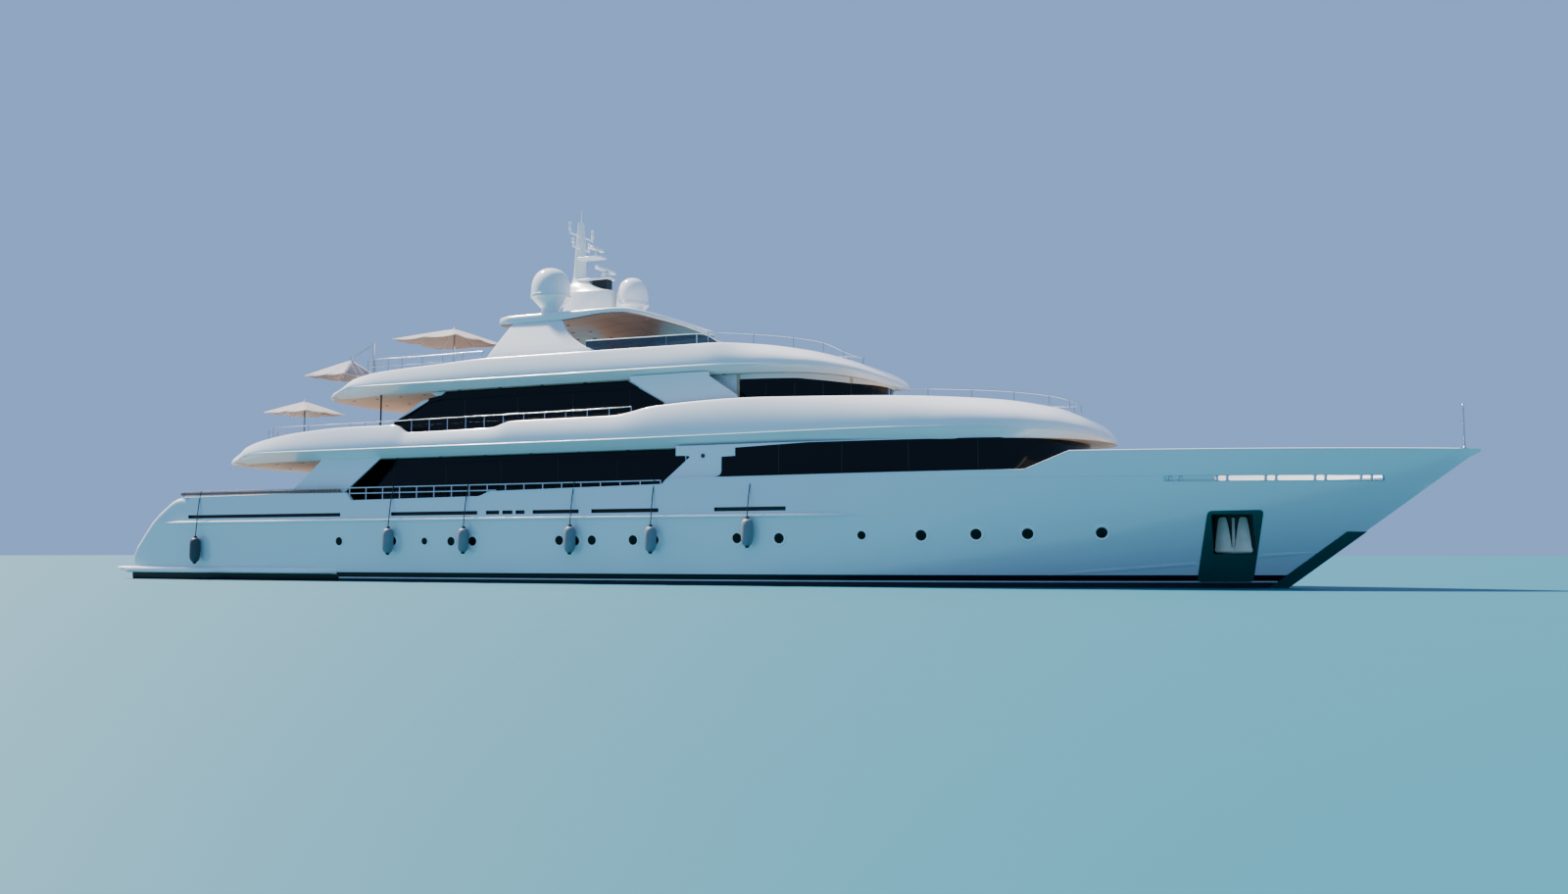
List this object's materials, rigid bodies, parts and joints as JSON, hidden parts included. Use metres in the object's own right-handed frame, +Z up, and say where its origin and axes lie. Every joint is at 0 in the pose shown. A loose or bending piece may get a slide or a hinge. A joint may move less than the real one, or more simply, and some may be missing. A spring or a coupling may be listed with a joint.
{
  "type": "motor yacht, 1:2 scale model",
  "caption": "Half-size model of a three-deck motor yacht with a flared bow, full-beam side bands, dark glass, radome mast, sliding doors, stern door, rudders and propellers.",
  "frame": {"origin": "amidships on the centreline at the waterline, where the yacht floats", "axes": "+X forward to the bow, +Y to port, +Z up"},
  "size_m": [26.69, 4.8617, 9.0578],
  "materials": {
    "white_paint": "gloss",
    "dark_glass": "gloss",
    "polished_steel": "polished",
    "bronze": "satin",
    "fender_vinyl": "matte",
    "canopy_cloth": "woven"
  },
  "bodies": {
    "yacht": {"hull": "white_paint", "stern_quarter_starboard": "white_paint", "stern_quarter_port": "white_paint", "bulwark_starboard": "white_paint", "bulwark_port": "white_paint", "bow_bulwark": "white_paint", "swim_platform": "white_paint", "upper_deck": "white_paint", "sun_deck": "white_paint", "main_house_aft": "white_paint", "main_house_fore": "white_paint", "upper_house": "white_paint", "wheelhouse": "white_paint", "hardtop": "white_paint", "arch_leg_starboard": "white_paint", "arch_leg_port": "white_paint", "mast": "white_paint", "dome_starboard": "white_paint", "dome_port": "white_paint", "dome_fore": "white_paint", "main_window_fore": "dark_glass", "main_window_aft_starboard": "dark_glass", "main_window_aft_port": "dark_glass", "wheelhouse_window": "dark_glass", "upper_window_starboard": "dark_glass", "upper_window_port": "dark_glass", "windscreen": "dark_glass", "main_rail_starboard": "polished_steel", "main_rail_port": "polished_steel", "upper_rail": "polished_steel", "sun_rail": "polished_steel", "upper_fore_rail": "polished_steel", "sun_fore_rail": "polished_steel", "parasol_pole_upper": "polished_steel", "parasol_pole_sun_fore": "polished_steel", "parasol_pole_sun_aft": "polished_steel", "anchor_starboard": "polished_steel", "anchor_port": "polished_steel", "fender_1": "fender_vinyl", "fender_2": "fender_vinyl", "fender_3": "fender_vinyl", "fender_4": "fender_vinyl", "fender_5": "fender_vinyl", "fender_6": "fender_vinyl", "parasol_canopy_upper": "canopy_cloth", "parasol_canopy_sun_fore": "canopy_cloth", "parasol_canopy_sun_aft": "canopy_cloth"},
    "propeller_starboard": {"propeller_starboard": "bronze"},
    "rudder_starboard": {"rudder_starboard": "white_paint"},
    "stabilizer_starboard": {"stabilizer_starboard": "white_paint"},
    "saloon_door_starboard": {"saloon_door_starboard": "dark_glass"},
    "lounge_door_starboard": {"lounge_door_starboard": "dark_glass"},
    "propeller_port": {"propeller_port": "bronze"},
    "rudder_port": {"rudder_port": "white_paint"},
    "stabilizer_port": {"stabilizer_port": "white_paint"},
    "saloon_door_port": {"saloon_door_port": "dark_glass"},
    "lounge_door_port": {"lounge_door_port": "dark_glass"},
    "radar_lower": {"radar_scanner_lower": "white_paint"},
    "radar_upper": {"radar_scanner_upper": "white_paint"},
    "transom_door": {"transom_door": "white_paint"}
  },
  "joints": [
    {"name": "propeller_spin_starboard", "type": "hinge", "parent": "yacht", "child": "propeller_starboard", "pos_m": [-11.5, -0.85, -1.12], "axis": [1, 0, 0], "continuous": true},
    {"name": "rudder_turn_starboard", "type": "hinge", "parent": "yacht", "child": "rudder_starboard", "pos_m": [-12.25, -0.85, -1], "axis": [0, 0, 1], "range_deg": [-35, 35]},
    {"name": "stabilizer_turn_starboard", "type": "hinge", "parent": "yacht", "child": "stabilizer_starboard", "pos_m": [-0.8, -1.757, -0.95], "axis": [0, -0.6211, -0.7837], "range_deg": [-20, 20]},
    {"name": "saloon_door_slide_starboard", "type": "slide", "parent": "yacht", "child": "saloon_door_starboard", "axis": [0, -1, 0], "range_m": [0, 0.65]},
    {"name": "lounge_door_slide_starboard", "type": "slide", "parent": "yacht", "child": "lounge_door_starboard", "axis": [0, -1, 0], "range_m": [0, 0.65]},
    {"name": "propeller_spin_port", "type": "hinge", "parent": "yacht", "child": "propeller_port", "pos_m": [-11.5, 0.85, -1.12], "axis": [1, 0, 0], "continuous": true},
    {"name": "rudder_turn_port", "type": "hinge", "parent": "yacht", "child": "rudder_port", "pos_m": [-12.25, 0.85, -1], "axis": [0, 0, 1], "range_deg": [-35, 35]},
    {"name": "stabilizer_turn_port", "type": "hinge", "parent": "yacht", "child": "stabilizer_port", "pos_m": [-0.8, 1.757, -0.95], "axis": [0, 0.6211, -0.7837], "range_deg": [-20, 20]},
    {"name": "saloon_door_slide_port", "type": "slide", "parent": "yacht", "child": "saloon_door_port", "axis": [0, 1, 0], "range_m": [0, 0.65]},
    {"name": "lounge_door_slide_port", "type": "slide", "parent": "yacht", "child": "lounge_door_port", "axis": [0, 1, 0], "range_m": [0, 0.65]},
    {"name": "radar_spin_lower", "type": "hinge", "parent": "yacht", "child": "radar_lower", "pos_m": [-2.4, 0, 6.23], "axis": [0, 0, 1], "continuous": true},
    {"name": "radar_spin_upper", "type": "hinge", "parent": "yacht", "child": "radar_upper", "pos_m": [-2.61, 0, 6.68], "axis": [0, 0, 1], "continuous": true},
    {"name": "transom_door_lift", "type": "hinge", "parent": "yacht", "child": "transom_door", "pos_m": [-11.98, 0, 1.512], "axis": [0, 1, 0], "range_deg": [0, 80]}
  ]
}
